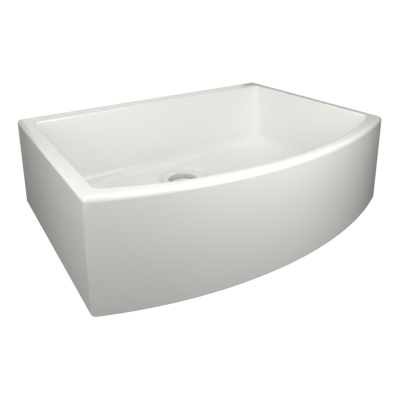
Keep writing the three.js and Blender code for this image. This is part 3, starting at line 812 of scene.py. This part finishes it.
def basket_cup():
    """A deep-drawn steel cup with a turned-out lip, pierced with slots and rows of holes."""
    cup = turned(
        "strainer_basket",
        [(2.7, -25.2)]
        + arc(29.2, -22.2, 3, -90, -10, 6)
        + [(36.0, -4.6)]
        + arc(37.6, -3.1, 0.6, -60, 60, 5)
        + [(37.4, -2.3), (36.2, -2.6), (35.2, -3.6)]
        + arc(29.2, -22.2, 2, -10, -90, 6)
        + [(2.7, -24.2), (2.7, -25.2)],
        144,
    )
    middle = beside_axis(33, -13.25)
    slots = add(
        bpy.ops.mesh.primitive_cylinder_add,
        "slots",
        vertices=16,
        radius=1.6 * MM,
        depth=12 * MM,
        location=middle,
        rotation=(0, math.pi / 2, 0),
    )
    for up in (1, -1):
        pick("VERT", lambda v: up * (v.z - middle[2]) > 1e-5)
        bpy.ops.transform.translate(value=(0, 0, up * 4.4 * MM))
    repeat(18)
    cutters = [slots]
    for radius, count in ((12, 6), (19, 10), (26, 14)):
        holes = add(
            bpy.ops.mesh.primitive_cylinder_add,
            f"holes_{radius}",
            vertices=20,
            radius=1.9 * MM,
            depth=6 * MM,
            location=beside_axis(radius, -24.7),
        )
        repeat(count)
        cutters.append(holes)
    cut(cup, join(*cutters))
    finish_with(cup, "BEVEL", width=0.15 * MM, **{**FINE_EDGE, "segments": 2})
    return cup


def basket_stopper():
    """A rubber bung: a thin sealing lip below, a waist, and a shallow ring moulded in its top."""
    return turned(
        "rubber_bung",
        [(2.7, -33.5), (27.6, -33.5)]
        + arc(28.4, -32.9, 0.55, -90, 60, 6)
        + arc(28.6, -29.4, 2.4, 210, 160, 5)
        + arc(25.1, -26.4, 0.9, 0, 90, 5)
        + [(18.5, -25.5), (18, -26), (17, -26), (16.5, -25.5), (2.7, -25.5), (2.7, -33.5)],
    )


def basket_post():
    """A steel stem turned from bar: a domed head, a shoulder under the bung, a chamfered tip."""
    post = turned(
        "basket_stem",
        [(0, -46.1), (3.2, -46.1)]
        + arc(4.2, -45.1, 1, -90, 0, 4)
        + [(5.2, -44.3), (2.4, -44.3), (2.4, -36.2), (5.8, -36.2), (5.8, -33.8), (2.4, -33.8)]
        + [(2.4, 6.8), (1.8, 7.4), (0, 7.4)],
        64,
    )
    finish_with(post, "BEVEL", width=0.2 * MM, **FINE_EDGE)
    return post


def basket_catch():
    """A split brass bush. Its four fingers swell halfway, where they spring past the cross."""
    bush = turned(
        "spring_catch",
        [(2.7, -44), (4.9, -44), (5.3, -43.4), (5.7, -42), (6.05, -40.4), (6.1, -39.6)]
        + [(6.1, -37.1), (5.8, -36.5), (2.7, -36.5), (2.7, -44)],
        72,
    )
    foot = beside_axis(0, -44)
    slits = add(bpy.ops.mesh.primitive_cube_add, "slits", size=MM, location=foot)
    bpy.ops.transform.resize(value=(24, 1.2, 11.2), center_override=foot)
    bpy.ops.mesh.duplicate()
    bpy.ops.transform.rotate(value=math.pi / 2, orient_axis="Z", center_override=OUTLET)
    leave()
    cut(bush, slits)
    finish_with(bush, "BEVEL", width=0.15 * MM, **FINE_EDGE)
    return bush


def basket_nut():
    """A hexagon nut, its corners turned off in a cone at both ends."""
    across_flats = 10
    nut = add(
        bpy.ops.mesh.primitive_cylinder_add,
        "stem_nut",
        vertices=6,
        radius=across_flats * MM / math.sqrt(3),
        depth=4 * MM,
        location=beside_axis(0, -21.9),
    )
    leave()
    cut(nut, turned("bore", [(0, -26), (2.7, -26), (2.7, -18), (0, -18)], 48))
    chamfer = [(0, -23.9), (4.9, -23.9), (5.9, -23.3), (5.9, -20.5), (4.9, -19.9), (0, -19.9)]
    cut(nut, turned("chamfer", chamfer, 96), "INTERSECT")
    return nut


def basket_cover():
    """The cap over the basket: a shallow dome with a waisted knob, and a boss for the stem."""
    dome = [(r, 7.4 - 2.6 * (r / 37) ** 2) for r in (9.5, 14, 19, 24, 29, 33, 35.9)]
    return turned(
        "basket_cap",
        [(0, 15.4), (3, 15.35)]
        + arc(5.5, 12.9, 2.5, 85, -40, 10)
        + arc(9.5, 9.3, 2.2, 150, 255, 8)
        + dome
        + arc(35.9, 3.76, 1.1, 80, -80, 8)
        + [(r, z - 2.2) for r, z in reversed(dome[:-1])]
        + [(6, 5.1), (6, -0.6), (2.7, -0.6), (2.7, 7.7), (0, 7.7)],
    )


# ---------------------------------------------------------------- the pieces on their bodies

sink = casting()
smooth(sink, 40)
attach(sink, "root")
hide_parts("sink_body")

enamel = stoved_enamel("cover_coat_enamel", "#ebecec", "#f0f1f1")
# painted shade: a grey enamel that stands for the shade down the barrel's bore
barrel_painted_shade = stoved_enamel("barrel_painted_shade_enamel", "#cfd2d3", "#d6d9da")
rubber, stainless, brass = moulded_rubber(), brushed_stainless(), turned_brass()

for piece, node_name, body, slot, material in (
    (flange_seal(), "flange_seal", "root", "foam_seal", foam()),
    (strainer_body(), "strainer_body", "root", "white_enamel", enamel),
    (sealing_ring(), "rubber_gasket", "root", "black_rubber", rubber),
    (friction_washer(), "friction_washer", "root", "fibre", pressed_fibre()),
    (lock_nut(), "lock_nut", "root", "zinc_plated_steel", zinc_plate()),
    (basket_cup(), "basket_cup", "basket", "stainless_steel", stainless),
    (basket_stopper(), "basket_stopper", "basket", "black_rubber", rubber),
    (basket_post(), "basket_post", "basket", "stainless_steel", stainless),
    (basket_catch(), "basket_catch", "basket", "brass", brass),
    (basket_nut(), "basket_nut", "basket", "brass", brass),
    (basket_cover(), "basket_cover", "basket", "white_plastic", moulded_plastic()),
):
    smooth(piece)
    piece.data.materials.clear()
    piece.data.materials.append(material)
    if node_name == "strainer_body":
        # the cover coat ends just inside the barrel; below it the grey is painted shade down the
        # bore
        edit()
        paint(piece, barrel_painted_shade, lambda c, n: c.z < 0.0164 and off_axis(c) < 0.0425)
        leave()
    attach(piece, body)
    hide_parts(node_name)

# ---------------------------------------------------------------- floor, light and surroundings

FLOOR_HOLE = 0.062  # radius, so that the gasket and the lock nut go through
WHITE_GLOW = 1.05  # just past white, so that no grey is left in it
LAMP_WHITE = (1, 1.008, 0.944)  # fitted to the photograph, a little warm
WIDE = 180  # degrees that a softbox throws its light over


def plain(name, colour, glow=0):
    """A flat finish for what isn't part of the object. With a glow, it does nothing else."""
    material = bpy.data.materials.new(name)
    material.use_nodes = True
    shader = material.node_tree.nodes["Principled BSDF"]
    shader.inputs["Base Color"].default_value = linear(colour)
    shader.inputs["Roughness"].default_value = 0.9
    if glow:
        shader.inputs["Base Color"].default_value = linear("#000000")
        shader.inputs["Specular IOR Level"].default_value = 0
        shader.inputs["Emission Color"].default_value = linear(colour)
        shader.inputs["Emission Strength"].default_value = glow
    return material


def floor_sheet(name, radius, height, material):
    """A big round floor with a hole that the waste hangs through."""
    place = (OUTLET[0], OUTLET[1], height)
    sheet = add(
        bpy.ops.mesh.primitive_circle_add, name, vertices=64, radius=FLOOR_HOLE, location=place
    )
    bpy.ops.mesh.extrude_region()
    widen = radius / FLOOR_HOLE
    bpy.ops.transform.resize(value=(widen, widen, 1), center_override=OUTLET)
    bpy.ops.mesh.select_all(action="SELECT")
    bpy.ops.mesh.normals_make_consistent(inside=False)
    leave()
    sheet.data.materials.append(material)
    return sheet


# what the camera sees is pure white, and what the sink is lit from below by is darker
seen = floor_sheet("white_floor", 12, -0.0004, plain("white_paper", "#ffffff", WHITE_GLOW))
seen.visible_diffuse = seen.visible_glossy = seen.visible_shadow = seen.visible_transmission = False
lit = floor_sheet("grey_floor", 3, -0.0008, plain("grey_paper", "#464646"))
lit.visible_camera = False

world = bpy.data.worlds.new("studio")
bpy.context.scene.world = world
world.use_nodes = True
tree = world.node_tree
tree.nodes.clear()
room = node(tree, "ShaderNodeBackground", {"Color": linear("#f0f0ee"), "Strength": 0.02})
white = node(tree, "ShaderNodeBackground", {"Color": linear("#ffffff"), "Strength": WHITE_GLOW})
ray = node(tree, "ShaderNodeLightPath").outputs["Is Camera Ray"]
both = node(tree, "ShaderNodeMixShader", {0: ray, 1: room.outputs[0], 2: white.outputs[0]})
node(tree, "ShaderNodeOutputWorld", {"Surface": both.outputs[0]})

# softboxes: name, place, what each is turned to, width and height in metres, how wide it throws
# its light in degrees, watts
for name, place, target, width, height, throw, power in (
    ("front", (0.1, -0.85, 0.55), (0, -0.1, 0.1), 0.5, 0.5, WIDE, 3.2),
    ("front_close", (0.1, -0.55, 0.55), (0, -0.1, 0.1), 0.5, 0.5, WIDE, 0.6),
    ("front_left", (-0.2, -0.55, 0.55), (0, -0.1, 0.1), 0.5, 0.5, WIDE, 1.2),
    ("left", (-0.95, -0.2, 0.5), (-0.2, -0.1, 0.1), 0.5, 0.5, WIDE, 3.6),
    ("over_left", (-0.3, 0.1, 0.8), (0, 0, 0.1), 0.5, 0.5, WIDE, 1.35),
    ("over_right", (0.3, 0.1, 0.8), (0, 0, 0.1), 0.5, 0.5, WIDE, 1.1),
    ("back_left_low", (-1.3, 1.3, 0.46), (0, 0, 0.1), 0.9, 0.9, WIDE, 3.0),
    ("right_fill", (1.84, 0, 0.46), (0, 0, 0.1), 0.9, 0.9, WIDE, 5.0),
    ("behind", (0, 1.34, 1.34), (0, 0, 0.1), 1.3, 1.3, WIDE, 2.2),
    # a long low one behind the sink, which the flats of the rim mirror
    ("back_low", (0.65, 1.85, 0.67), (0, 0.2, 0.218), 1.6, 0.34, WIDE, 1.9),
    # a small one that reaches the bowl's far corner and little else
    ("far_corner", (-0.1, -0.2, 0.9), (0.34, 0.22, 0.14), 0.12, 0.12, 22, 0.011),
    # a low one for the right end and the back, below the rim so that the bowl gets none of it
    ("behind_right_fill", (1.3, 0.95, 0.11), (0.38, 0.1, 0.11), 0.9, 0.2, WIDE, 7.0),
):
    bpy.ops.object.light_add(type="AREA", location=place)
    light = bpy.context.object
    light.name = name
    light.data.shape = "RECTANGLE"
    light.data.size, light.data.size_y = width, height
    light.data.spread = math.radians(throw)
    light.data.energy = power
    light.data.color = LAMP_WHITE
    light.rotation_euler = (Vector(target) - Vector(place)).to_track_quat("-Z", "Y").to_euler()
    light.visible_camera = False
    # a fill stands for a plain white wall, so no edge mirrors it
    light.visible_glossy = not name.endswith("fill")
